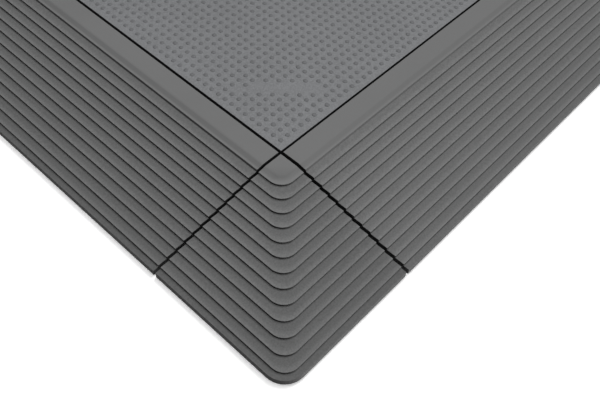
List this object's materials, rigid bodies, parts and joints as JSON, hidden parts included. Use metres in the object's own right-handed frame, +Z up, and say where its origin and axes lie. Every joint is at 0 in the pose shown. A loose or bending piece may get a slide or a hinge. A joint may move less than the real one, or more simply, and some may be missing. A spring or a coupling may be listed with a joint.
{
  "type": "tent floor panel",
  "caption": "Square studded plastic floor panel for a tent, edged on two sides by stepped ramps and a rounded corner ramp, ribbed underneath and hooked together.",
  "frame": {"origin": "under the middle of the overall box, on the ground", "axes": "+Z up from the ground through the walking face; the corner ramp lies towards -X and -Y, and the panel's two free sides face +X and +Y"},
  "size_m": [1.2104, 1.2222, 0.05],
  "materials": {
    "panel_plastic": "moulded grey plastic with small round studs, matt",
    "edging_plastic": "moulded grey plastic, smooth on the band and finely grained on the treads"
  },
  "bodies": {
    "root": {"floor_panel": "panel_plastic", "edge_ramp_right": "edging_plastic", "edge_ramp_left": "edging_plastic", "corner_ramp": "edging_plastic"}
  },
  "joints": []
}
